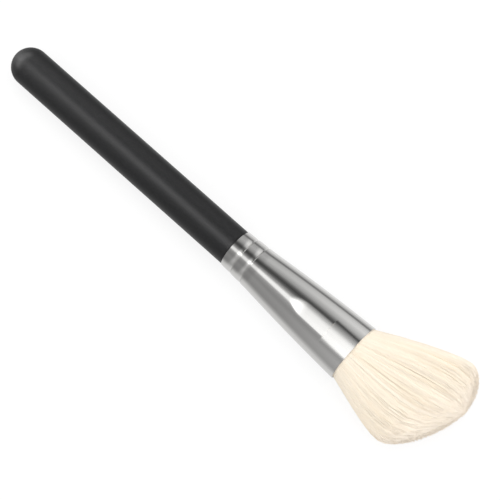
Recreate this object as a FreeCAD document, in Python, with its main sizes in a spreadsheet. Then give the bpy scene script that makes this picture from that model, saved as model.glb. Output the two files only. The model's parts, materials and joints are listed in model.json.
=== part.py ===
import FreeCAD, Part
import math
import os

import Sketcher
from FreeCAD import Placement, Rotation, Vector

# Makeup brush: a round wooden handle, a crimped metal ferrule and a fanned tuft of soft fibres.
# It is drawn with +X along the brush, from the ferrule's handle end towards the tuft, and +Z out
# of the broad side. At the end it is laid down as it rests on a table.

doc = FreeCAD.newDocument("makeup_brush")
sheet = doc.addObject("Spreadsheet::Sheet", "Sizes")
# Driving sizes in millimetres, apart from the ratio and the count that say so.
SIZES = {
    "handle_radius": 6.0,  # handle, a plain cylinder
    "handle_length": 90.0,  # handle from the tip of its butt to the ferrule
    "handle_edge": 0.3,  # eased edge of the handle at the ferrule
    "tenon_length": 15.0,  # thin end of the handle inside the ferrule
    "tenon_chamfer": 0.8,  # chamfer on the end of the tenon
    "tenon_clearance": 0.05,  # room around the tenon, to a side

    "ferrule_lip": 0.2,  # how far the ferrule stands proud of the handle
    "ferrule_length": 46.5,  # ferrule from the handle to its mouth
    "wall": 0.4,  # sheet metal of the ferrule
    "round_length": 10.0,  # round end of the ferrule, which carries the crimps
    "round_flare": 0.6,  # growth in radius over the round end
    "first_crimp": 3.6,  # first crimp from the handle end of the ferrule
    "second_crimp": 7.7,  # second crimp from the handle end of the ferrule
    "crimp_depth": 0.3,  # depth of a crimp
    "crimp_shoulder": 1.3,  # rounded fall of a crimp on its handle side
    "crimp_rise": 0.4,  # steep rise of a crimp on its mouth side
    "mouth_half_width": 9.45,  # half of the mouth's broad side
    "mouth_crown": 7.3,  # half thickness of the mouth's oval before it is pressed flat
    "mouth_half_thickness": 6.9,  # half thickness of the mouth across its pressed flats
    "flare_ease": 0.35,  # share of the growth in width that comes early, a ratio
    "flat_bite": 0.06,  # how deep the flats have cut in at the middle of the flare
    "press_line": 8.9,  # step across each flat, back from the mouth
    "press_step": 0.22,  # depth of that step
    "press_rise": 0.4,  # length over which the step falls

    "fill_clearance": 0.15,  # room between the ferrule and what fills it, to a side
    "tenon_gap": 7.5,  # empty length of the ferrule between the tenon and the plug of glue
    "root_glue_length": 7.0,  # plug of glue, which ends where the roots of the fibres start
    "glue_start": 0.5,  # start of the sleeve of glue behind the first crimp

    "tuft_length": 35.1,  # tuft from the mouth to its furthest tip
    "tip_offset": 8.6,  # furthest tip from the axis of the brush
    "long_side_length": 26.8,  # long side of the fan from the mouth to its bulge
    "long_side_width": 20.0,  # bulge of the long side from the axis
    "short_side_length": 21.1,  # short side of the fan from the mouth to its bulge
    "short_side_width": 14.0,  # bulge of the short side from the axis
    "tuft_half_thickness": 8.6,  # half thickness of the fan at its bulge
    "tip_half_thickness": 0.9,  # half thickness of the blunt tip
    "ridge_depth": 0.4,  # depth of the combed ridges at the bulge
    "ridge_count": 28,  # combed ridges around the tuft, a count
}
for row, (name, amount) in enumerate(SIZES.items(), start=1):
    sheet.set(f"A{row}", name)
    sheet.set(f"B{row}", str(amount))
    sheet.setAlias(f"B{row}", name)
doc.recompute()


def number(name):
    return float(sheet.get(name))


def evaluate(rule):
    """The number that an expression gives, used to draw a sketch close to its final form."""
    return float(sheet.evalExpression(rule.replace("Sizes.", "")))


def origin_plane(body, role):
    return next(item for item in body.Origin.OriginFeatures if item.Role == role)


def new_sketch(body, name, role, offset=None):
    """An empty sketch on one of the body's own planes, moved off it by an expression."""
    sketch = body.newObject("Sketcher::SketchObject", name)
    sketch.AttachmentSupport = [(origin_plane(body, role), "")]
    sketch.MapMode = "FlatFace"
    if offset:
        sketch.setExpression(".AttachmentOffset.Base.z", offset)
    return sketch


def hold(sketch, kind, name, edge, end, rule):
    """Hold an edge's end at a distance from the origin that an expression gives."""
    index = sketch.addConstraint(Sketcher.Constraint(kind, -1, 1, edge, end, evaluate(rule)))
    sketch.renameConstraint(index, name)
    sketch.setExpression(f"Constraints.{name}", rule)


def polygon(sketch, corners, open_end=False):
    """Line segments through corners that are pairs of expressions, closed unless told otherwise."""
    first = sketch.GeometryCount
    places = [Vector(evaluate(across), evaluate(up), 0) for across, up in corners]
    count = len(corners) - 1 if open_end else len(corners)
    for i in range(count):
        sketch.addGeometry(Part.LineSegment(places[i], places[(i + 1) % len(corners)]))
    for i in range(count if not open_end else count - 1):
        following = first + (i + 1) % count
        sketch.addConstraint(Sketcher.Constraint("Coincident", first + i, 2, following, 1))
    for i, (across, up) in enumerate(corners):
        edge, end = (first + i, 1) if i < count else (first + count - 1, 2)
        hold(sketch, "DistanceX", f"across_{first + i}", edge, end, across)
        hold(sketch, "DistanceY", f"up_{first + i}", edge, end, up)
    return first, first + count - 1


def revolve(body, sketch, name):
    feature = body.newObject("PartDesign::Revolution", name)
    feature.Profile = sketch
    feature.ReferenceAxis = (sketch, ["H_Axis"])
    feature.Angle = 360
    return feature


def crimp_profile(place, radius_at):
    """Corners of one crimp: a rounded fall on the handle side, then a steep rise to the mouth side."""
    steps = 2
    corners = []
    for step in range(steps + 1):
        share = step / steps
        fall = 1 - math.cos(math.pi / 2 * share)
        along = f"({place} - Sizes.crimp_shoulder * {1 - share})"
        corners.append((along, f"{radius_at(along)} - Sizes.crimp_depth * {fall}"))
    along = f"({place} + Sizes.crimp_rise)"
    corners.append((along, radius_at(along)))
    return corners


# Handle: turned wood with a full round butt. Its tenon has a groove that the first crimp bites into.
BORE_RADIUS = "(Sizes.handle_radius + Sizes.ferrule_lip - Sizes.wall)"
TENON_RADIUS = f"({BORE_RADIUS} - Sizes.tenon_clearance)"


def build_handle():
    body = doc.addObject("PartDesign::Body", "Handle")
    body.Label = "handle"
    profile = new_sketch(body, "HandleProfile", "XY_Plane")
    corners = [
        ("Sizes.handle_radius - Sizes.handle_length", "Sizes.handle_radius"),
        ("-Sizes.handle_edge", "Sizes.handle_radius"),
        ("0", "Sizes.handle_radius - Sizes.handle_edge"),
        ("0", TENON_RADIUS),
        *crimp_profile("Sizes.first_crimp", lambda along: TENON_RADIUS),
        ("Sizes.tenon_length - Sizes.tenon_chamfer", TENON_RADIUS),
        ("Sizes.tenon_length", f"{TENON_RADIUS} - Sizes.tenon_chamfer"),
        ("Sizes.tenon_length", "0"),
        ("-Sizes.handle_length", "0"),
    ]
    first, last = polygon(profile, corners, open_end=True)
    radius = number("handle_radius")
    centre = Vector(radius - number("handle_length"), 0, 0)
    circle = Part.Circle(centre, Vector(0, 0, 1), radius)
    butt = profile.addGeometry(Part.ArcOfCircle(circle, math.pi / 2, math.pi))
    profile.addConstraint(Sketcher.Constraint("Coincident", butt, 1, first, 1))
    profile.addConstraint(Sketcher.Constraint("Coincident", butt, 2, last, 2))
    profile.addConstraint(Sketcher.Constraint("PointOnObject", butt, 3, -1))
    revolve(body, profile, "HandleTurned")
    return body


# Ferrule: a tube of sheet metal, round where it is crimped onto the handle, flared into an oval whose
# broad sides are pressed flat towards the mouth. Its outside and its inside are the same form, each
# set in by its own distance, so that crimps and flats show through the wall.
ROUND_END_RADIUS = "(Sizes.handle_radius + Sizes.ferrule_lip + Sizes.round_flare)"
FLARE_SHARES = (0.125, 0.25, 0.375, 0.5, 0.625)
OVAL_CORNERS = 48


def round_radius(along):
    return f"(Sizes.handle_radius + Sizes.ferrule_lip + Sizes.round_flare * {along} / Sizes.round_length)"


def power(base, exponent):
    return math.copysign(abs(base) ** exponent, base)


def oval(long_place, short_place, half_thickness, corner_count, flat=math.inf, ridge=0.0, fullness=2.0):
    """A closed section between two places, cut off at the height of a flat, every other corner set in."""
    middle = (long_place + short_place) / 2
    half = (long_place - short_place) / 2
    across = half / half.Length
    corners = []
    for i in range(corner_count):
        angle = 2 * math.pi * (i + 0.5) / corner_count
        inset = ridge if i % 2 else 0.0
        outward = power(math.cos(angle), 2 / fullness) * (half.Length - inset)
        up = power(math.sin(angle), 2 / fullness) * (half_thickness - inset)
        corners.append(middle + across * outward + Vector(0, 0, max(-flat, min(flat, up))))
    return Part.makePolygon(corners + corners[:1])


def round_section(along, radius):
    side = Vector(0, radius, 0)
    place = Vector(along, 0, 0)
    return oval(place + side, place - side, radius, OVAL_CORNERS)


def crown_height(share):
    """Half thickness of the flare before its flats are pressed, at a share of the way to the mouth."""
    end_radius = evaluate(ROUND_END_RADIUS)
    return end_radius + (number("mouth_crown") - end_radius) * share * share * (3 - 2 * share)


def flat_height(share):
    """Height of the pressed flats above the axis: a plane through the middle of the flare and the mouth."""
    middle = crown_height(0.5) - number("flat_bite")
    return middle + (number("mouth_half_thickness") - middle) * (share - 0.5) / 0.5


def flare_section(along, inset, corner_count=OVAL_CORNERS, step=0.0):
    """The flare's section at a place along the brush, with its flats lowered by a step."""
    share = (along - number("round_length")) / (number("ferrule_length") - number("round_length"))
    end_radius = evaluate(ROUND_END_RADIUS)
    growth = share * (1 + number("flare_ease") * (1 - share))
    side = Vector(0, end_radius + (number("mouth_half_width") - end_radius) * growth - inset, 0)
    place = Vector(along, 0, 0)
    flat = flat_height(share) - step - inset
    return oval(place + side, place - side, crown_height(share) - inset, corner_count, flat)


def flare_stops(start):
    """Places of the flare's sections from a start to the mouth, each with its flats' step."""
    round_end = number("round_length")
    mouth = number("ferrule_length")
    line = mouth - number("press_line")
    stops = [(round_end + (mouth - round_end) * share, 0.0) for share in FLARE_SHARES]
    stops += [(line - number("press_rise"), 0.0), (line, number("press_step")), (mouth, 0.0)]
    return [stop for stop in stops if stop[0] > start]


def ferrule_sections(inset):
    """Sections of the ferrule's form from the handle to the mouth, set in from its outside."""
    round_end = [("0", round_radius("0"))]
    for place in ("Sizes.first_crimp", "Sizes.second_crimp"):
        round_end += crimp_profile(place, round_radius)
    round_end.append(("Sizes.round_length", ROUND_END_RADIUS))
    sections = [round_section(evaluate(along), evaluate(radius) - inset) for along, radius in round_end]
    for along, step in flare_stops(number("round_length")):
        sections.append(flare_section(along, inset, step=step))
    return sections


def build_ferrule():
    # A sketch's ellipses would give these lofts surfaces that take tens of thousands of facets.
    outside = ferrule_sections(0.0)
    inside = ferrule_sections(number("wall"))
    faces = Part.makeLoft(outside, False, True).Faces + Part.makeLoft(inside, False, True).Faces
    for end in (0, -1):
        faces += Part.Face(outside[end]).cut(Part.Face(inside[end])).Faces
    walls = Part.Compound(faces)
    walls.sewShape()
    solid = Part.Solid(walls.Shells[0])
    if solid.Volume < 0:
        solid.reverse()
    ferrule = doc.addObject("Part::Feature", "Ferrule")
    ferrule.Label = "ferrule"
    ferrule.Shape = solid
    return ferrule


# Glue: a sleeve around the tenon under the second crimp, and a plug that the roots of the fibres end in.
FILL_INSET = "(Sizes.wall + Sizes.fill_clearance)"


def build_handle_glue():
    body = doc.addObject("PartDesign::Body", "HandleGlue")
    body.Label = "handle_glue"
    start = "(Sizes.first_crimp + Sizes.crimp_rise + Sizes.glue_start)"
    outside = [(start, round_radius(start))]
    outside += crimp_profile("Sizes.second_crimp", round_radius)
    outside.append(("Sizes.round_length", ROUND_END_RADIUS))
    corners = [(start, BORE_RADIUS)]
    corners += [(along, f"{radius} - {FILL_INSET}") for along, radius in outside]
    corners.append(("Sizes.round_length", BORE_RADIUS))
    profile = new_sketch(body, "HandleGlueProfile", "XY_Plane")
    polygon(profile, corners)
    revolve(body, profile, "HandleGlueSleeve")
    return body


def plug_start():
    return number("tenon_length") + number("tenon_gap")


def root_start():
    return plug_start() + number("root_glue_length")


def build_root_glue():
    inset = evaluate(FILL_INSET)
    between = [along for along, step in flare_stops(plug_start()) if along < root_start()]
    # The plug follows the inside of the flare, section by section.
    plug = doc.addObject("Part::Feature", "RootGlue")
    plug.Label = "root_glue"
    places = [plug_start(), *between, root_start()]
    plug.Shape = Part.makeLoft([flare_section(place, inset) for place in places], True, True)
    return plug


# Tuft: the roots fill the ferrule's mouth, straight sides fan out to a bulge, and two lopsided quarter
# ovals close the end. Each section runs from a place on the long side to one on the short side, and
# its corners stand in and out by turns, as combed fibres do.
END_SECTIONS = 6
LONG_SIDE_FULLNESS = 2.2
SHORT_SIDE_FULLNESS = 1.65
SECTION_FULLNESS = 2.3


def ridge_corners():
    return 2 * int(number("ridge_count"))


def root_sections():
    """Sections of the roots inside the ferrule, up to its mouth."""
    inset = evaluate(FILL_INSET)
    stops = [(root_start(), 0.0)] + flare_stops(root_start())
    return [flare_section(along, inset, ridge_corners(), step) for along, step in stops]


def end_sections():
    """Sections from the bulge to the tip."""
    mouth = number("ferrule_length")
    long_bulge = Vector(mouth + number("long_side_length"), number("long_side_width"), 0)
    short_bulge = Vector(mouth + number("short_side_length"), -number("short_side_width"), 0)
    tip = Vector(mouth + number("tuft_length"), number("tip_offset"), 0)
    reach = math.acos(number("tip_half_thickness") / number("tuft_half_thickness"))
    wires = []
    for i in range(END_SECTIONS):
        angle = reach * i / (END_SECTIONS - 1)
        gone, left = math.sin(angle), math.cos(angle)
        places = []
        for bulge, fullness in ((long_bulge, LONG_SIDE_FULLNESS), (short_bulge, SHORT_SIDE_FULLNESS)):
            along = bulge.x + (tip.x - bulge.x) * gone ** (2 / fullness)
            across = tip.y + (bulge.y - tip.y) * left ** (2 / fullness)
            places.append(Vector(along, across, 0))
        half_thickness = number("tuft_half_thickness") * left
        ridge = number("ridge_depth") * left
        wires.append(oval(*places, half_thickness, ridge_corners(), ridge=ridge, fullness=SECTION_FULLNESS))
    return wires


def build_tuft():
    # The sections tilt and carry ridges by a formula, which no sketch or primitive draws.
    fibres = doc.addObject("Part::Feature", "HairTuft")
    fibres.Label = "hair_tuft"
    fibres.Shape = Part.makeLoft(root_sections() + end_sections(), True, True)
    return fibres


def lay_down(parts):
    """Rest the brush on its butt and on the bulge of its tuft, centred over the origin."""
    butt = number("handle_radius") - number("handle_length")
    bulge = number("ferrule_length") + (number("long_side_length") + number("short_side_length")) / 2
    rise = number("tuft_half_thickness") - number("handle_radius")
    tilt = Rotation(Vector(0, 1, 0), -math.degrees(math.atan2(rise, bulge - butt)))
    for part in parts:
        part.Placement = Placement(Vector(0, 0, 0), tilt)
    doc.recompute()
    box = FreeCAD.BoundBox()
    for part in parts:
        box.add(part.Shape.optimalBoundingBox(False))
    to_origin = Vector(-box.Center.x, -box.Center.y, -box.ZMin)
    for part in parts:
        part.Placement = Placement(to_origin, tilt)
    doc.recompute()


def check_and_write(parts):
    for item in doc.Objects:
        if "Invalid" in item.State or "Error" in item.State:
            raise RuntimeError(f"{item.Name} failed: {item.State}")
    os.makedirs("parts", exist_ok=True)
    for part in parts:
        if part.Shape.isNull() or not part.Shape.isValid():
            raise RuntimeError(f"{part.Label} has no valid shape")
    for part in parts:
        part.Shape.exportStep(f"parts/{part.Label}.step")
        print(part.Label, len(part.Shape.Solids), "solid", round(part.Shape.Volume, 1), "mm3")


sub_parts = [build_handle(), build_ferrule(), build_tuft(), build_root_glue(), build_handle_glue()]
doc.recompute()
lay_down(sub_parts)
check_and_write(sub_parts)
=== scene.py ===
import json
import math
import random

import bpy
from mathutils import Matrix, Vector


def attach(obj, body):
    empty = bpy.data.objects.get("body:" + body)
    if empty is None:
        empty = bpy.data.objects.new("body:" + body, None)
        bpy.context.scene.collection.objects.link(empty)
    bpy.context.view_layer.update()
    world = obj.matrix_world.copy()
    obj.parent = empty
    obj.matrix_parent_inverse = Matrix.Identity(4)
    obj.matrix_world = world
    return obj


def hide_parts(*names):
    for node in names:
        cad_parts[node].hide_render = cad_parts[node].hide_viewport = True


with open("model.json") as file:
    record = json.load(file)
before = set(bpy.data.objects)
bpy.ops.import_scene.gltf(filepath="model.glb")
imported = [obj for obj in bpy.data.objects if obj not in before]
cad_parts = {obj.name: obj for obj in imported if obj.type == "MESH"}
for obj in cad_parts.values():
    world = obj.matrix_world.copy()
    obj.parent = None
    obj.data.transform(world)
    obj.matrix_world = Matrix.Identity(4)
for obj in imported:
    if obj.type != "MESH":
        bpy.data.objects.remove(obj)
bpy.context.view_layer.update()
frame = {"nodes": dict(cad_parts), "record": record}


# Handle: turned wood with a full round butt, under a satin black lacquer. It is sprayed and dried, so
# the lacquer is even, with the finest grain. Its thin end is glued and crimped into the ferrule.
HANDLE_EDGE = 0.3  # millimetres of eased edge between the mount's end and the ferrule
LACQUER_BLACK = "0F0F10"
LACQUER_SPECK = "1A1A1B"
LACQUER_GRIT = 0.35  # millimetres across a speck of the grain, several times the real one so that it shows
LACQUER_SPREAD = (0.35, 0.65)  # levels of the grain up to which it is all black, and from which all speck
LACQUER_ROUGHNESS = (0.36, 0.46)
LACQUER_GLOSS = 0.42
LACQUER_RELIEF = 0.15
LACQUER_RELIEF_DEPTH = 0.0001  # metres
FIRST_COLOUR, SECOND_COLOUR = 6, 7  # a Mix node's sockets for colours, which share their names with others


def linear(hex_colour):
    """An sRGB hex colour as the linear colour that a shader's socket takes."""
    shares = [int(hex_colour[i:i + 2], 16) / 255 for i in (0, 2, 4)]
    return (*(s / 12.92 if s <= 0.04045 else ((s + 0.055) / 1.055) ** 2.4 for s in shares), 1.0)


def add(tree, kind, inputs=None, **settings):
    """A new node with its settings, each input given as a value or as another node's socket."""
    node = tree.nodes.new(kind)
    for name, value in settings.items():
        setattr(node, name, value)
    for key, value in (inputs or {}).items():
        if isinstance(value, bpy.types.NodeSocket):
            tree.links.new(value, node.inputs[key])
        else:
            node.inputs[key].default_value = value
    return node


def new_material(name):
    """A new material and its node tree, which is empty."""
    material = bpy.data.materials.new(name)
    material.use_nodes = True
    material.node_tree.nodes.clear()
    return material, material.node_tree


def per_metre(millimetres):
    """How many spots of a size in millimetres fit in the metre that object coordinates count in."""
    return 1000 / millimetres


def satin_lacquer():
    # Sprayed lacquer on wood: a black coat with a soft sheen and a grain as fine as dust.
    material, tree = new_material("satin_black_lacquer")
    place = add(tree, "ShaderNodeTexCoord").outputs["Object"]
    grain = add(tree, "ShaderNodeTexNoise", {
        "Vector": place, "Scale": per_metre(LACQUER_GRIT), "Detail": 2.0}).outputs["Fac"]
    spread = add(tree, "ShaderNodeMapRange", {
        "Value": grain, "From Min": LACQUER_SPREAD[0], "From Max": LACQUER_SPREAD[1]})
    tint = add(tree, "ShaderNodeMix", {
        "Factor": spread.outputs[0], FIRST_COLOUR: linear(LACQUER_BLACK),
        SECOND_COLOUR: linear(LACQUER_SPECK)}, data_type="RGBA")
    rough = add(tree, "ShaderNodeMapRange", {
        "Value": grain, "To Min": LACQUER_ROUGHNESS[0], "To Max": LACQUER_ROUGHNESS[1]})
    relief = add(tree, "ShaderNodeBump", {
        "Height": grain, "Strength": LACQUER_RELIEF, "Distance": LACQUER_RELIEF_DEPTH})
    coat = add(tree, "ShaderNodeBsdfPrincipled", {
        "Base Color": tint.outputs[2], "Roughness": rough.outputs[0], "Normal": relief.outputs[0],
        "Specular IOR Level": LACQUER_GLOSS})
    add(tree, "ShaderNodeOutputMaterial", {"Surface": coat.outputs[0]})
    return material


def dress(piece, material):
    """Give a piece this material alone."""
    piece.data.materials.clear()
    piece.data.materials.append(material)


dress(frame["nodes"]["handle"], satin_lacquer())

# The brush's own axes, in millimetres from the ferrule's end at the handle. The handle's mount gives the
# line that the handle and the ferrule share.
grip = frame["record"]["mounts"][0]
along_brush = -Vector(grip["axis"]).normalized()
across_brush = Vector((0, 1, 0))
up_brush = along_brush.cross(across_brush)
ferrule_end = Vector(grip["pos_m"]) + along_brush * (grip["dims"]["length_mm"] / 2 + HANDLE_EDGE) / 1000
brush_to_row = Matrix.Translation(ferrule_end) @ Matrix(
    (along_brush, across_brush, up_brush)).transposed().to_4x4() @ Matrix.Scale(0.001, 4)


# Ferrule: one tube of thin brass sheet, plated bright and polished. It is round and rolled onto the
# handle by two crimps, then flared, and its broad sides are pressed flat to hold the fibres.
FERRULE_LENGTH = 46.5
WALL = 0.4
ROUND_LENGTH = 10.0  # of the end that is rolled onto the handle
ROUND_START_RADIUS = 6.2
ROUND_END_RADIUS = 6.8
CRIMPS = (3.6, 7.7)  # from the handle's end, each at its deepest
CRIMP_DEPTH = 0.32
CRIMP_FALL = 2.4
CRIMP_FULLNESS = 3.2  # how long the fall stays high before it turns down, where 2 is a round
CRIMP_RISE = 0.32
MOUTH_HALF_WIDTH = 9.45
MOUTH_CROWN = 7.05  # half the mouth's height, had its broad sides stayed round
MOUTH_FLAT = 6.9  # half its height over the flats
FLARE_EASE = 0.35  # how much sooner than in a straight cone the sheet widens
FLAT_BITE = 0.2  # how far the press sets a flat in at its start
FLAT_START = 0.5  # share of the flare at which the press bites in full
FLAT_LIFT = 12.0  # how fast the press lets go of the sheet from there towards the handle
PRESS_LINE = 37.6
PRESS_STEP = 0.16
PRESS_RISE = 0.18
FLAT_EDGE = 0.05  # how softly a flat turns into the round side
FLAT_SPRING = (140.0, 220.0)  # a flat falls off by its width cubed over this, at its start and at its end
RING_SPACING = {"crimps": 0.11, "flare": 0.8, "press": 0.03, "inside": 1.2}
PRESS_REACH = (0.4, 0.2)  # how far before and after the press line its closer rings go
AROUND = 240
SHARP_EDGE = 50  # degrees between faces from which an edge of the sheet stays sharp
PLATING = "E9E8E6"
PLATING_ROUGHNESS = (0.1, 0.17)
POLISH_MARK = 0.25  # millimetres between the wheel's finest marks, coarser than real ones so that they show
POLISH_STRETCH = 0.04  # how much slower the marks change along the brush than around it


def smooth_step(low, high, value):
    """0 up to the low value and 1 from the high one, with an even turn between them."""
    share = max(0.0, min(1.0, (value - low) / (high - low)))
    return share * share * (3 - 2 * share)


def crimp_dip(along):
    """How far a crimp sets the sheet in: a round fall towards the handle, a steep rise to the mouth."""
    dip = 0.0
    for place in CRIMPS:
        if place - CRIMP_FALL <= along <= place:
            share = (along - place + CRIMP_FALL) / CRIMP_FALL
            dip += 1 - math.sqrt(1 - share ** CRIMP_FULLNESS)
        elif place < along <= place + CRIMP_RISE:
            dip += 1 - smooth_step(place, place + CRIMP_RISE, along)
    return dip * CRIMP_DEPTH


def soft_limit(value, limit, softness):
    """The smaller of a value and a limit, with a round turn between them."""
    room = max(softness - abs(value - limit), 0.0) / softness
    return min(value, limit) - room * room * softness / 4


def ferrule_point(along, angle, inset=0.0):
    """A point of the ferrule's outside, or of its inside where it is set in by the wall."""
    if along <= ROUND_LENGTH:
        radius = ROUND_START_RADIUS + (ROUND_END_RADIUS - ROUND_START_RADIUS) * along / ROUND_LENGTH
        radius -= crimp_dip(along) + inset
        return Vector((along, radius * math.cos(angle), radius * math.sin(angle)))
    share = (along - ROUND_LENGTH) / (FERRULE_LENGTH - ROUND_LENGTH)
    grown = share * (1 + FLARE_EASE * (1 - share))
    half_width = ROUND_END_RADIUS + (MOUTH_HALF_WIDTH - ROUND_END_RADIUS) * grown - inset
    crown = ROUND_END_RADIUS + (MOUTH_CROWN - ROUND_END_RADIUS) * smooth_step(0, 1, share)
    middle = ROUND_END_RADIUS + (MOUTH_CROWN - ROUND_END_RADIUS) / 2 - FLAT_BITE
    flat = middle + (MOUTH_FLAT - middle) * max(share - FLAT_START, 0) / (1 - FLAT_START)
    flat += FLAT_LIFT * max(FLAT_START - share, 0) ** 2
    flat -= PRESS_STEP * smooth_step(PRESS_LINE - PRESS_RISE, PRESS_LINE, along)
    across = half_width * math.cos(angle)
    spring = FLAT_SPRING[0] + (FLAT_SPRING[1] - FLAT_SPRING[0]) * smooth_step(FLAT_START, 1, share)
    sprung = flat - inset - abs(across) ** 3 / spring
    height = soft_limit(abs(math.sin(angle)) * (crown - inset), sprung, FLAT_EDGE)
    return Vector((along, across, math.copysign(height, math.sin(angle))))


def steps(start, end, spacing):
    """Places from a start up to an end, about a spacing apart."""
    count = max(1, round(abs(end - start) / spacing))
    return [start + (end - start) * i / count for i in range(count)]


def rings_mesh(name, rings, around, ends="open"):
    """A piece through rings of equally many points: open, closed by end faces, or joined to a ring."""
    points = [brush_to_row @ point for ring in rings for point in ring]
    faces = []
    last = len(rings) if ends == "ring" else len(rings) - 1
    for i in range(last):
        near, far = i * around, (i + 1) % len(rings) * around
        for j in range(around):
            k = (j + 1) % around
            faces.append((near + j, near + k, far + k, far + j))
    if ends == "closed":
        faces.append(tuple(reversed(range(around))))
        faces.append(tuple(range(len(points) - around, len(points))))
    mesh = bpy.data.meshes.new(name)
    mesh.from_pydata(points, [], faces)
    mesh.shade_smooth()
    piece = bpy.data.objects.new(name, mesh)
    bpy.context.collection.objects.link(piece)
    return piece


def face_outwards(piece):
    """Turn the faces so that the closed mesh's volume counts as positive."""
    mesh = piece.data
    mesh.calc_loop_triangles()
    volume = 0.0
    for triangle in mesh.loop_triangles:
        a, b, c = (mesh.vertices[i].co for i in triangle.vertices)
        volume += a.dot(b.cross(c))
    if volume < 0:
        mesh.flip_normals()


def build_ferrule():
    """The sheet's outside, its cut edge at the mouth, its inside, and the cut edge at the handle."""
    press_start, press_end = PRESS_LINE - PRESS_REACH[0], PRESS_LINE + PRESS_REACH[1]
    outside = steps(0, ROUND_LENGTH, RING_SPACING["crimps"])
    outside += steps(ROUND_LENGTH, press_start, RING_SPACING["flare"])
    outside += steps(press_start, press_end, RING_SPACING["press"])
    outside += steps(press_end, FERRULE_LENGTH, RING_SPACING["flare"])
    outside.append(FERRULE_LENGTH)
    inside = steps(FERRULE_LENGTH, 0, RING_SPACING["inside"]) + [0.0]
    angles = [2 * math.pi * i / AROUND for i in range(AROUND)]
    rings = [[ferrule_point(along, angle) for angle in angles] for along in outside]
    rings += [[ferrule_point(along, angle, WALL) for angle in angles] for along in inside]
    piece = rings_mesh("ferrule_sheet", rings, AROUND, ends="ring")
    piece.data.set_sharp_from_angle(angle=math.radians(SHARP_EDGE))
    face_outwards(piece)
    return piece


def polished_plating():
    # Bright nickel plating on sheet, buffed: it mirrors the room, with the faintest wheel marks along it.
    material, tree = new_material("polished_nickel_plating")
    place = add(tree, "ShaderNodeTexCoord").outputs["Object"]
    stretched = add(tree, "ShaderNodeMapping", {"Vector": place, "Scale": (POLISH_STRETCH, 1.0, 1.0)})
    marks = add(tree, "ShaderNodeTexNoise", {
        "Vector": stretched.outputs[0], "Scale": per_metre(POLISH_MARK), "Detail": 3.0})
    rough = add(tree, "ShaderNodeMapRange", {
        "Value": marks.outputs["Fac"], "To Min": PLATING_ROUGHNESS[0], "To Max": PLATING_ROUGHNESS[1]})
    metal = add(tree, "ShaderNodeBsdfPrincipled", {
        "Base Color": linear(PLATING), "Metallic": 1.0, "Roughness": rough.outputs[0]})
    add(tree, "ShaderNodeOutputMaterial", {"Surface": metal.outputs[0]})
    return material


ferrule = build_ferrule()
dress(ferrule, polished_plating())
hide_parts("ferrule")
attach(ferrule, "root")


# Glue: epoxy, poured into the ferrule and set hard. A plug of it holds the roots of the fibres, and a
# sleeve of it holds the handle's tenon. Only a brush that is cut open shows them.
GLUE_AMBER = "D9C58E"
GLUE_DEEP = "C4A965"
GLUE_CLOUD = 3.0  # millimetres across a cloud in the resin
GLUE_ROUGHNESS = 0.2


def cast_epoxy():
    # Poured epoxy, cured: amber, glossy and faintly cloudy where air was stirred in.
    material, tree = new_material("cured_epoxy")
    place = add(tree, "ShaderNodeTexCoord").outputs["Object"]
    cloud = add(tree, "ShaderNodeTexNoise", {
        "Vector": place, "Scale": per_metre(GLUE_CLOUD), "Detail": 3.0}).outputs["Fac"]
    tint = add(tree, "ShaderNodeMix", {
        "Factor": cloud, FIRST_COLOUR: linear(GLUE_AMBER), SECOND_COLOUR: linear(GLUE_DEEP)},
        data_type="RGBA")
    resin = add(tree, "ShaderNodeBsdfPrincipled", {
        "Base Color": tint.outputs[2], "Roughness": GLUE_ROUGHNESS})
    add(tree, "ShaderNodeOutputMaterial", {"Surface": resin.outputs[0]})
    return material


epoxy = cast_epoxy()
dress(frame["nodes"]["root_glue"], epoxy)
dress(frame["nodes"]["handle_glue"], epoxy)


# Tuft, its dense middle: thousands of soft synthetic fibres with tapered tips, set side by side. What
# the eye sees between the outer fibres is more of them, so the middle is one streaked body.
TUFT_LENGTH = 35.3
TIP_OFFSET = 8.6  # of the farthest point, from the brush's middle towards the long side
LONG_BULGE = (26.8, 20.0)  # where each side is widest: along and across from the middle of the mouth
SHORT_BULGE = (21.1, -14.0)
TUFT_HALF_THICKNESS = 8.6
LONG_FULLNESS = 2.2  # of the rounded end on each side and of the section, where 2 is an ellipse
SHORT_FULLNESS = 1.65
SECTION_FULLNESS = 2.3
ROOT_DEPTH = 0.8  # how far inside the mouth the modelled fibres start
ROOT_HALF_WIDTH = 8.6
ROOT_CROWN = 6.7
ROOT_FLAT = 6.05
# A pair below is for the narrow sides and for the middles of the broad sides, unless it says otherwise.
BULGE_PASS = (0.78, 0.58)  # share of a fibre's length at which it passes the bulge
OUTER_REACH = (14, 68)  # degrees over the rounded end that the outermost fibres reach, of 90 at the tip
REACH_RISE = 1.8  # how late that reach grows on the way from a narrow side to a broad one
LEAVING = (0.6, 0.75)  # share of the way to the bulge of a fibre's first guide point, along and across
CORE_SHARE = 0.97  # share of the tuft's section that the body fills
CORE_TAPER = (0.06, 0.18)  # share by which the body draws in towards the tips
CORE_MIDDLE_CUT = 0.965  # share of its fibres' length at which the body ends, in the middle
CORE_RIM_CUT = (0.95, 0.935)  # the same at the rim
CORE_AROUND = 240
CORE_RINGS = 24
CORE_STREAKS_SEED = 4
FIBRE_CREAM = "FFF6E8"
FIBRE_OCHRE = "FCEFDA"
# The tips' tint is painted light: it lifts the shade that gathers among the fibre ends.
FIBRE_TIP_PAINTED_LIGHT = "FBF1E3"
TIP_PAINTED_LIGHT_START = 0.6  # share of a fibre's length from which it pales to its tip, painted light that lifts the shade gathering among the fibre ends
FIBRE_ROUGHNESS = 0.6
FIBRE_GLOSS = 0.3


def between(pair, share):
    """The value at a share of the way from a pair's first to its second."""
    return pair[0] + (pair[1] - pair[0]) * share


def signed_power(value, exponent):
    """A power of the value's size, with the value's sign."""
    return math.copysign(abs(value) ** exponent, value)


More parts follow.
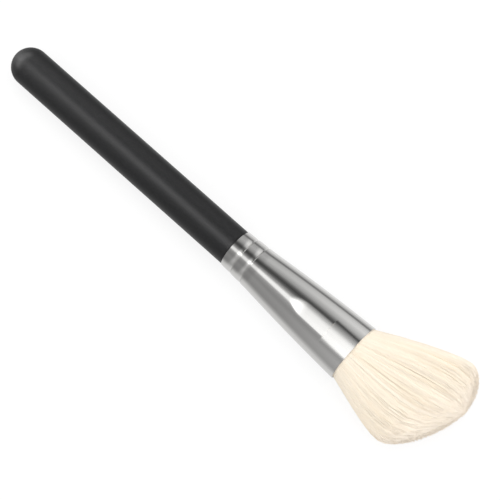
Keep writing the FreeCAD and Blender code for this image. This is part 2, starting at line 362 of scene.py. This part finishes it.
def fibre_root(share, angle):
    """Where a fibre leaves the glue, at a share of the way from the middle of the bundle to its rim."""
    across = ROOT_HALF_WIDTH * math.cos(angle) * share
    up = max(-ROOT_FLAT, min(ROOT_FLAT, ROOT_CROWN * math.sin(angle))) * share
    return Vector((FERRULE_LENGTH - ROOT_DEPTH, across, up))


def fan_section(turn, share, angle):
    """A point of the fan's rounded end, turned from the bulge at 0 degrees to the tip at 90."""
    gone, left = math.sin(math.radians(turn)), math.cos(math.radians(turn))
    places = []
    for (along, across), fullness in ((LONG_BULGE, LONG_FULLNESS), (SHORT_BULGE, SHORT_FULLNESS)):
        place_along = along + (TUFT_LENGTH - along) * gone ** (2 / fullness)
        place_across = TIP_OFFSET + (across - TIP_OFFSET) * left ** (2 / fullness)
        places.append(Vector((FERRULE_LENGTH + place_along, place_across, 0)))
    middle = (places[0] + places[1]) / 2
    half = (places[0] - places[1]) / 2
    up = signed_power(math.sin(angle), 2 / SECTION_FULLNESS) * TUFT_HALF_THICKNESS * left
    sideways = half * signed_power(math.cos(angle), 2 / SECTION_FULLNESS)
    return middle + (sideways + Vector((0, 0, up))) * share


def fibre_path(share, angle):
    """The four guide points of a fibre's smooth line: root, leaving, turning over the bulge, and end."""
    root = fibre_root(share, angle)
    bulge = fan_section(0, share, angle)
    broad = abs(math.sin(angle))
    passing = between(BULGE_PASS, broad)
    reach = between(OUTER_REACH, broad ** REACH_RISE)
    end = fan_section(90 - (90 - reach) * share, 1.0, angle)
    leaving = root.lerp(bulge, LEAVING[0])
    leaving.y = root.y + (bulge.y - root.y) * LEAVING[1]
    left = 1 - passing
    weights = (left ** 3, 3 * left * left * passing, 3 * left * passing ** 2, passing ** 3)
    turning = (bulge - root * weights[0] - leaving * weights[1] - end * weights[3]) / weights[2]
    return root, leaving, turning, end


def along_path(path, share):
    """The point at a share of the smooth line that four guide points give."""
    left = 1 - share
    weights = (left ** 3, 3 * left * left * share, 3 * left * share * share, share ** 3)
    return sum((point * weight for point, weight in zip(path, weights)), Vector())


def build_core():
    """A closed body a little inside the outermost fibres, which ends short of their tips."""
    angles = [2 * math.pi * (i + 0.5) / CORE_AROUND for i in range(CORE_AROUND)]
    stops = [(CORE_SHARE, i / CORE_RINGS) for i in range(CORE_RINGS)]
    stops += [(CORE_SHARE * math.cos(math.pi / 2 * i / CORE_RINGS), 1.0) for i in range(CORE_RINGS)]
    rings = []
    for share, gone in stops:
        ring = []
        for angle in angles:
            broad = abs(math.sin(angle))
            drawn_in = share * (1 - between(CORE_TAPER, broad) * gone ** 3)
            cut = between((CORE_MIDDLE_CUT, between(CORE_RIM_CUT, broad)), share * share)
            ring.append(along_path(fibre_path(drawn_in, angle), gone * cut))
        rings.append(ring)
    piece = rings_mesh("tuft_core", rings, CORE_AROUND, ends="closed")
    face_outwards(piece)
    return piece


def soft_fibre():
    # Extruded nylon-like fibre, cream with a silky sheen: each one a little paler or more ochre. Towards
    # its tip each pales to one tint, painted light that lifts the shade gathering among the fibre ends.
    material, tree = new_material("soft_cream_fibre")
    drawn = add(tree, "ShaderNodeUVMap", uv_map="OFBake")
    split = add(tree, "ShaderNodeSeparateXYZ", {"Vector": drawn.outputs[0]})
    body = add(tree, "ShaderNodeMix", {
        "Factor": split.outputs["X"], FIRST_COLOUR: linear(FIBRE_OCHRE),
        SECOND_COLOUR: linear(FIBRE_CREAM)}, data_type="RGBA")
    # The pale tip is painted light, lifting the shade that gathers among the fibre ends.
    end = add(tree, "ShaderNodeMapRange", {
        "Value": split.outputs["Y"], "From Min": TIP_PAINTED_LIGHT_START, "From Max": 1.0})
    tint = add(tree, "ShaderNodeMix", {
        "Factor": end.outputs[0], FIRST_COLOUR: body.outputs[2], SECOND_COLOUR: linear(FIBRE_TIP_PAINTED_LIGHT)},
        data_type="RGBA")
    fibre = add(tree, "ShaderNodeBsdfPrincipled", {
        "Base Color": tint.outputs[2], "Roughness": FIBRE_ROUGHNESS, "Specular IOR Level": FIBRE_GLOSS})
    add(tree, "ShaderNodeOutputMaterial", {"Surface": fibre.outputs[0]})
    return material


fibre_material = soft_fibre()
core = build_core()
core_map = core.data.uv_layers.new(name="OFBake")
streaks = random.Random(CORE_STREAKS_SEED)
shades = [streaks.random() for _ in range(CORE_AROUND)]
for face in core.data.polygons:
    shade = shades[min(face.vertices) % CORE_AROUND]
    for loop in face.loop_indices:
        core_map.data[loop].uv = (shade, TIP_PAINTED_LIGHT_START)
dress(core, fibre_material)
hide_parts("hair_tuft")
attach(core, "root")


# Tuft, its fibres: thin soft filaments whose roots are set in the glue side by side. Each bends out over
# the fan and ends on the rounded end, where its tip thins, and a few stray tips stand proud.
FIBRES_A_LAYER = 5000
LAYERS = 6  # each its own mesh of under 200,000 triangles
FIRST_SEED = 11  # the first layer's, and one more for each after it
FIBRE_RADIUS = 0.09  # about three times a real fibre's, so that single fibres show
TIP_RADIUS = 0.06
TIP_START = 10.0  # how late a fibre begins to thin, as a power of the way to its tip
FIBRE_STOPS = 7
FIBRE_SIDES = 3  # enough for so thin a fibre
FIBRE_TWIST = 6.28  # radians by which those sides may be turned
SHORTEST = (0.97, 0.95)  # share of its length that the shortest fibre has, in the middle and at the rim
CROWDING = (0.5, 2.4)  # how close the fibres stand in the middle of the bundle and at its rim
CROWDING_RISE = 4
TIP_SCATTER = 0.28  # how far a tip may lie from its neighbours' line, each way
SCATTER_START = 1.5  # how late a fibre leaves its neighbours' line, as a power of the way to its tip
WAVE_HEIGHT = 0.03
WAVE_SIZE = 1.6  # across the part of the bundle whose fibres bend the same way
LOCK_SIZE = 1.3  # locks of one tint to a millimetre of the bundle
LOCK_SPREAD = (0.3, 0.7)  # levels up to which a lock is all ochre, and from which all cream
OWN_TINT = 0.65  # share of its tint that a fibre has for itself, the rest being its lock's
TABLE_GAP = 0.00005  # metres: the lowest fibres lie pressed on the table
BED_RINGS = 12
BED_AROUND = 72
FIRST_NUMBER, SECOND_NUMBER, FIRST_VECTOR, SECOND_VECTOR = 2, 3, 4, 5  # a Mix node's sockets for those


def fibre_bed():
    """The face that the fibres start from. Each of its points knows the guide points of its fibre."""
    paths, crowd, shortest, faces = [fibre_path(0, 0)], [CROWDING[0]], [SHORTEST[0]], []
    for i in range(1, BED_RINGS + 1):
        share = i / BED_RINGS
        for j in range(BED_AROUND):
            paths.append(fibre_path(share, 2 * math.pi * (j + 0.5) / BED_AROUND))
            crowd.append(between(CROWDING, share ** CROWDING_RISE))
            shortest.append(between(SHORTEST, share * share))
    for j in range(BED_AROUND):
        k = (j + 1) % BED_AROUND
        faces.append((0, 1 + j, 1 + k))
        for i in range(BED_RINGS - 1):
            near, far = 1 + i * BED_AROUND, 1 + (i + 1) * BED_AROUND
            faces.append((near + j, far + j, far + k, near + k))
    mesh = bpy.data.meshes.new("fibre_bed")
    mesh.from_pydata([path[0] for path in paths], [], faces)
    for name, guide in (("leaving", 1), ("turning", 2), ("end", 3)):
        mesh.attributes.new(name, "FLOAT_VECTOR", "POINT").data.foreach_set(
            "vector", [value for path in paths for value in path[guide]])
    mesh.attributes.new("crowding", "FLOAT", "POINT").data.foreach_set("value", crowd)
    mesh.attributes.new("shortest", "FLOAT", "POINT").data.foreach_set("value", shortest)
    bed = bpy.data.objects.new("fibre_bed", mesh)
    bpy.context.collection.objects.link(bed)
    return bed


FIBRE_SIZES = (
    ("Fibres a square millimetre", "NodeSocketFloat"),
    ("Fibre radius", "NodeSocketFloat"),
    ("Tip radius", "NodeSocketFloat"),
    ("Tip scatter", "NodeSocketFloat"),
    ("Wave height", "NodeSocketFloat"),
    ("Wave size", "NodeSocketFloat"),
    ("Seed", "NodeSocketInt"),
    ("Fibre", "NodeSocketMaterial"),
)
FIBRE_ATTRIBUTES = (
    ("crowding", "FLOAT"), ("shortest", "FLOAT"), ("root", "FLOAT_VECTOR"), ("leaving", "FLOAT_VECTOR"),
    ("turning", "FLOAT_VECTOR"), ("end", "FLOAT_VECTOR"), ("length", "FLOAT"), ("stray", "FLOAT_VECTOR"),
    ("tint", "FLOAT"), ("twist", "FLOAT"), ("share", "FLOAT"))


def fibre_tree():
    """Fibres on every part of a bed, in millimetres: points, a line at each, bent, thinned and skinned."""
    tree = bpy.data.node_groups.new("planted_fibres", "GeometryNodeTree")
    tree.interface.new_socket("Bed", in_out="INPUT", socket_type="NodeSocketGeometry")
    for name, kind in FIBRE_SIZES:
        tree.interface.new_socket(name, in_out="INPUT", socket_type=kind)
    tree.interface.new_socket("Fibres", in_out="OUTPUT", socket_type="NodeSocketGeometry")
    given = add(tree, "NodeGroupInput").outputs
    known = {}
    for name, kind in FIBRE_ATTRIBUTES:
        known[name] = add(
            tree, "GeometryNodeInputNamedAttribute", {"Name": name}, data_type=kind).outputs[0]

    # Roots, the closer together the nearer they are to the rim of the bundle.
    density = add(tree, "ShaderNodeMath", {
        0: known["crowding"], 1: given["Fibres a square millimetre"]}, operation="MULTIPLY").outputs[0]
    planted = add(tree, "GeometryNodeDistributePointsOnFaces", {
        "Mesh": given["Bed"], "Density": density, "Seed": given["Seed"]}).outputs["Points"]

    # A fibre's own length, stray and twist, and the tint that it shares in part with its neighbours.
    root = add(tree, "GeometryNodeInputPosition").outputs[0]
    length = add(tree, "FunctionNodeRandomValue", {2: known["shortest"], 3: 1.0, "Seed": 1}).outputs[1]
    stray = add(tree, "FunctionNodeRandomValue", {
        0: (-1.0, -1.0, -1.0), 1: (1.0, 1.0, 1.0), "Seed": 2}, data_type="FLOAT_VECTOR").outputs[0]
    stray = add(tree, "ShaderNodeVectorMath", {
        0: stray, "Scale": given["Tip scatter"]}, operation="SCALE").outputs[0]
    lock = add(tree, "ShaderNodeTexNoise", {"Vector": root, "Scale": LOCK_SIZE, "Detail": 2.0}).outputs[0]
    lock = add(tree, "ShaderNodeMapRange", {
        "Value": lock, "From Min": LOCK_SPREAD[0], "From Max": LOCK_SPREAD[1]}).outputs[0]
    own = add(tree, "FunctionNodeRandomValue", {"Seed": 3}).outputs[1]
    tint = add(tree, "ShaderNodeMix", {
        "Factor": OWN_TINT, FIRST_NUMBER: lock, SECOND_NUMBER: own}).outputs[0]
    twist = add(tree, "FunctionNodeRandomValue", {3: FIBRE_TWIST, "Seed": 4}).outputs[1]
    own_values = {"root": root, "length": length, "stray": stray, "tint": tint, "twist": twist}
    for name, value in own_values.items():
        planted = add(tree, "GeometryNodeStoreNamedAttribute", {
            "Geometry": planted, "Name": name, "Value": value},
            data_type=dict(FIBRE_ATTRIBUTES)[name]).outputs[0]

    # A short line at every point, laid along the smooth curve of the fibre's four guide points.
    line = add(tree, "GeometryNodeCurvePrimitiveLine").outputs[0]
    line = add(tree, "GeometryNodeResampleCurve", {"Curve": line, "Count": FIBRE_STOPS}).outputs[0]
    lines = add(tree, "GeometryNodeInstanceOnPoints", {"Points": planted, "Instance": line}).outputs[0]
    lines = add(tree, "GeometryNodeRealizeInstances", {"Geometry": lines}).outputs[0]
    share = add(tree, "GeometryNodeSplineParameter").outputs["Factor"]
    lines = add(tree, "GeometryNodeStoreNamedAttribute", {
        "Geometry": lines, "Name": "share", "Value": share}, data_type="FLOAT").outputs[0]
    gone = add(tree, "ShaderNodeMath", {0: share, 1: known["length"]}, operation="MULTIPLY").outputs[0]
    guides = [known[name] for name in ("root", "leaving", "turning", "end")]
    while len(guides) > 1:
        guides = [
            add(tree, "ShaderNodeMix", {
                "Factor": gone, FIRST_VECTOR: near, SECOND_VECTOR: far}, data_type="VECTOR").outputs[1]
            for near, far in zip(guides, guides[1:])]

    # A wave that neighbours share, of a noise turned from 0 to 1 into -1 to 1, and the fibre's own stray,
    # both of them growing to the tip.
    detail = add(tree, "ShaderNodeMath", {0: 1.0, 1: given["Wave size"]}, operation="DIVIDE").outputs[0]
    noise = add(tree, "ShaderNodeTexNoise", {
        "Vector": known["root"], "Scale": detail, "Detail": 1.0}).outputs["Color"]
    wave = add(tree, "ShaderNodeVectorMath", {
        0: noise, 1: (2.0, 2.0, 2.0), 2: (-1.0, -1.0, -1.0)}, operation="MULTIPLY_ADD").outputs[0]
    wave = add(tree, "ShaderNodeVectorMath", {
        0: wave, "Scale": given["Wave height"]}, operation="SCALE").outputs[0]
    wave = add(tree, "ShaderNodeVectorMath", {0: wave, 1: known["stray"]}, operation="ADD").outputs[0]
    grown = add(tree, "ShaderNodeMath", {0: share, 1: SCATTER_START}, operation="POWER").outputs[0]
    wave = add(tree, "ShaderNodeVectorMath", {0: wave, "Scale": grown}, operation="SCALE").outputs[0]
    place = add(tree, "ShaderNodeVectorMath", {0: guides[0], 1: wave}, operation="ADD").outputs[0]
    lines = add(tree, "GeometryNodeSetPosition", {"Geometry": lines, "Position": place}).outputs[0]
    lines = add(tree, "GeometryNodeSetCurveTilt", {"Curve": lines, "Tilt": known["twist"]}).outputs[0]

    # A skin around each line, which keeps its thickness until close to the tip.
    late = add(tree, "ShaderNodeMath", {0: share, 1: TIP_START}, operation="POWER").outputs[0]
    radius = add(tree, "ShaderNodeMapRange", {
        "Value": late, "To Min": given["Fibre radius"], "To Max": given["Tip radius"]}).outputs[0]
    outline = add(tree, "GeometryNodeCurvePrimitiveCircle", {
        "Resolution": FIBRE_SIDES, "Radius": 1.0}).outputs[0]
    skin = add(tree, "GeometryNodeCurveToMesh", {
        "Curve": lines, "Profile Curve": outline, "Scale": radius, "Fill Caps": True}).outputs[0]
    skin = add(tree, "GeometryNodeSetShadeSmooth", {"Geometry": skin}).outputs[0]
    drawn = add(tree, "ShaderNodeCombineXYZ", {"X": known["tint"], "Y": known["share"]}).outputs[0]
    skin = add(tree, "GeometryNodeStoreNamedAttribute", {
        "Geometry": skin, "Name": "OFBake", "Value": drawn}, data_type="FLOAT2", domain="CORNER").outputs[0]
    skin = add(tree, "GeometryNodeRealizeInstances", {"Geometry": skin}).outputs[0]
    skin = add(tree, "GeometryNodeSetMaterial", {"Geometry": skin, "Material": given["Fibre"]}).outputs[0]
    add(tree, "NodeGroupOutput", {"Fibres": skin})
    return tree


def plant_fibres(name, bed, tree, sizes):
    """A plain mesh of the fibres that the tree grows on the bed with these sizes."""
    planting = bed.modifiers.new("planting", "NODES")
    planting.node_group = tree
    for item in tree.interface.items_tree:
        if item.name in sizes:
            planting[item.identifier] = sizes[item.name]
    grown = bed.evaluated_get(bpy.context.evaluated_depsgraph_get())
    mesh = bpy.data.meshes.new_from_object(grown)
    bed.modifiers.remove(planting)
    mesh.transform(brush_to_row)
    for vertex in mesh.vertices:
        vertex.co.z = max(vertex.co.z, TABLE_GAP)
    mesh.name = name
    piece = bpy.data.objects.new(name, mesh)
    bpy.context.collection.objects.link(piece)
    return piece


bed = fibre_bed()
planting_tree = fibre_tree()
crowding = bed.data.attributes["crowding"].data
planted_area = sum(
    face.area * sum(crowding[i].value for i in face.vertices) / len(face.vertices)
    for face in bed.data.polygons)
for layer in range(LAYERS):
    fibres = plant_fibres(f"tuft_fibres_{layer + 1}", bed, planting_tree, {
        "Fibres a square millimetre": FIBRES_A_LAYER / planted_area,
        "Fibre radius": FIBRE_RADIUS,
        "Tip radius": TIP_RADIUS,
        "Tip scatter": TIP_SCATTER,
        "Wave height": WAVE_HEIGHT,
        "Wave size": WAVE_SIZE,
        "Seed": FIRST_SEED + layer,
        "Fibre": fibre_material,
    })
    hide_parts("hair_tuft")
    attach(fibres, "root")
bpy.data.objects.remove(bed)


# Studio: the brush lies on a matt white table in a white room under soft light. The polished ferrule
# mirrors the room's cards and lamps, which the camera itself doesn't see.
TABLE_SIZE = 3.0
TABLE_WHITE = "FFFFFF"
TABLE_GLOW = 0.78  # how far the camera sees the board as plain white, which leaves the shadow faint

half = TABLE_SIZE / 2
table_corners = [(-half, -half, 0), (half, -half, 0), (half, half, 0), (-half, half, 0)]
table_mesh = bpy.data.meshes.new("table")
table_mesh.from_pydata(table_corners, [], [(0, 1, 2, 3)])
table = bpy.data.objects.new("table", table_mesh)
bpy.context.collection.objects.link(table)


def white_table():
    # Matt white board: it keeps the soft shadow, and the camera sees it as the photograph's white.
    material, tree = new_material("white_board")
    board = add(tree, "ShaderNodeBsdfDiffuse", {"Color": linear(TABLE_WHITE)})
    lit = add(tree, "ShaderNodeEmission", {"Color": linear(TABLE_WHITE)})
    seen = add(tree, "ShaderNodeLightPath").outputs["Is Camera Ray"]
    part = add(tree, "ShaderNodeMath", {0: seen, 1: TABLE_GLOW}, operation="MULTIPLY").outputs[0]
    both = add(tree, "ShaderNodeMixShader", {0: part, 1: board.outputs[0], 2: lit.outputs[0]})
    add(tree, "ShaderNodeOutputMaterial", {"Surface": both.outputs[0]})
    return material


dress(table, white_table())
table.visible_glossy = False

ROOM_LIGHT = 0.95  # for all that isn't mirrored
# What polished metal mirrors: degrees around the brush's length from straight above, positive towards
# the tuft's long side, and how bright the room is there. A narrow strip lamp hangs overhead between a
# black and a grey card, white cards stand low on both sides.
ROOM_BANDS = (
    (-180, 0.42), (-112, 0.38), (-98, 0.28), (-84, 0.2), (-53, 0.26), (-36, 0.22), (-20, 0.3), (-15, 0.42),
    (-12, 0.93), (0, 0.93), (5, 0.4), (12, 0.24), (19, 0.09), (28, 0.04), (37, 0.1), (47, 0.3), (67, 0.46),
    (78, 0.42), (92, 0.34), (101, 0.11), (106, 0.11), (116, 0.28), (140, 0.46), (180, 0.42))
# The same room is brighter towards both of its ends and darkest beside the handle: how far along the
# brush a mirrored ray goes, -1 to 1, and how many times as bright the room is there.
ROOM_ENDS = ((-1.0, 6.0), (-0.88, 1.5), (-0.43, 1.0), (-0.31, 1.0), (-0.22, 1.8), (0.3, 1.9), (1.0, 1.3))
ROOM_LENGTHWISE = (1.0, 0.0, -0.08)  # the way in which the room runs along the brush


def grade(ramp, levels):
    """Give a colour ramp these grey levels, as (position, level) in rising order."""
    stops = ramp.color_ramp.elements
    for _ in levels[2:]:
        stops.new(0.5)
    for stop, (position, level) in zip(stops, levels):
        stop.position = position
        stop.color = (level, level, level, 1.0)


def studio_room():
    """Plain light for everything, with cards and lamps that only polished surfaces mirror."""
    world = bpy.data.worlds.new("studio_room")
    world.use_nodes = True
    tree = world.node_tree
    tree.nodes.clear()
    ray = add(tree, "ShaderNodeTexCoord").outputs["Generated"]
    way = add(tree, "ShaderNodeSeparateXYZ", {"Vector": ray})
    turn = add(tree, "ShaderNodeMath", {0: way.outputs["Y"], 1: way.outputs["Z"]}, operation="ARCTAN2")
    share = add(tree, "ShaderNodeMapRange", {
        "Value": turn.outputs[0], "From Min": -math.pi, "From Max": math.pi})
    bands = add(tree, "ShaderNodeValToRGB", {"Fac": share.outputs[0]})
    grade(bands, [((degrees + 180) / 360, bright) for degrees, bright in ROOM_BANDS])
    lengthwise = add(tree, "ShaderNodeVectorMath", {0: ray, 1: ROOM_LENGTHWISE}, operation="DOT_PRODUCT")
    reach = add(tree, "ShaderNodeMapRange", {"Value": lengthwise.outputs["Value"], "From Min": -1.0})
    ends = add(tree, "ShaderNodeValToRGB", {"Fac": reach.outputs[0]})
    grade(ends, [((place + 1) / 2, times) for place, times in ROOM_ENDS])
    mirrored = add(tree, "ShaderNodeVectorMath", {
        0: bands.outputs["Color"], 1: ends.outputs["Color"]}, operation="MULTIPLY")
    rays = add(tree, "ShaderNodeLightPath")
    around = add(tree, "ShaderNodeMix", {
        "Factor": rays.outputs["Is Glossy Ray"], FIRST_COLOUR: (ROOM_LIGHT, ROOM_LIGHT, ROOM_LIGHT, 1.0),
        SECOND_COLOUR: mirrored.outputs[0]}, data_type="RGBA")
    shown = add(tree, "ShaderNodeMix", {
        "Factor": rays.outputs["Is Camera Ray"], FIRST_COLOUR: around.outputs[2],
        SECOND_COLOUR: linear(TABLE_WHITE)}, data_type="RGBA")
    glow = add(tree, "ShaderNodeBackground", {"Color": shown.outputs[2]})
    add(tree, "ShaderNodeOutputWorld", {"Surface": glow.outputs[0]})
    return world


bpy.context.scene.world = studio_room()


def soft_lamp(name, place, aim, size, watts):
    """A flat soft box of a width and depth that shines from a place towards an aim, all in metres."""
    lamp = bpy.data.lights.new(name, "AREA")
    lamp.shape = "RECTANGLE"
    lamp.size, lamp.size_y = size
    lamp.energy = watts
    box = bpy.data.objects.new(name, lamp)
    box.location = place
    box.rotation_euler = (Vector(aim) - Vector(place)).to_track_quat("-Z", "Y").to_euler()
    bpy.context.collection.objects.link(box)
    return box


# A large box overhead and a smaller one beyond the tuft's end. The metal mirrors the room instead.
key_box = soft_lamp("key_box", place=(0.0, 0.3, 1.2), aim=(0, 0, 0), size=(0.9, 0.9), watts=4.3)
key_box.visible_glossy = False
end_box = soft_lamp("end_box", place=(0.7, 0.25, 0.4), aim=(0.07, 0, 0), size=(0.5, 0.5), watts=1.2)
end_box.visible_glossy = False

# A strip lamp over the handle and a wide one behind its butt. Cards keep both off the metal and the tuft.
handle_alone = bpy.data.collections.new("handle_alone")
handle_alone.objects.link(frame["nodes"]["handle"])
handle_strip = soft_lamp(
    "handle_strip", place=(-0.16, -0.03, 0.5), aim=(-0.05, 0, 0), size=(0.3, 0.08), watts=0.41)
handle_strip.light_linking.receiver_collection = handle_alone
butt_box = soft_lamp(
    "butt_box", place=(-0.4, 0.02, 0.22), aim=(-0.085, 0, 0.005), size=(0.8, 0.25), watts=2.0)
butt_box.light_linking.receiver_collection = handle_alone


# Camera: the photograph's view, from nearly straight above the broad side and a little from the tuft's
# end, rolled so that the brush runs from the upper left down to the right.
CAMERA_AIM = Vector((0.0076, -0.0005, 0.0069))
CAMERA_LEAN = math.radians(11.2)  # towards the tuft, away from straight above
CAMERA_ROLL = math.radians(41.5)
CAMERA_DISTANCE = 0.649
CAMERA_LENS = 160
CAMERA_SENSOR = 36

to_camera = Vector((math.sin(CAMERA_LEAN), 0, math.cos(CAMERA_LEAN)))
down_brush = Vector((math.cos(CAMERA_LEAN), 0, -math.sin(CAMERA_LEAN)))
across_view = to_camera.cross(down_brush)
right = math.cos(CAMERA_ROLL) * down_brush + math.sin(CAMERA_ROLL) * across_view
upward = -math.sin(CAMERA_ROLL) * down_brush + math.cos(CAMERA_ROLL) * across_view
camera_data = bpy.data.cameras.new("camera")
camera_data.lens = CAMERA_LENS
camera_data.sensor_width = CAMERA_SENSOR
camera = bpy.data.objects.new("camera", camera_data)
camera.matrix_world = Matrix.Translation(CAMERA_AIM + to_camera * CAMERA_DISTANCE) @ Matrix(
    (right, upward, to_camera)).transposed().to_4x4()
bpy.context.collection.objects.link(camera)
bpy.context.scene.camera = camera

bpy.context.scene.view_settings.view_transform = "Standard"
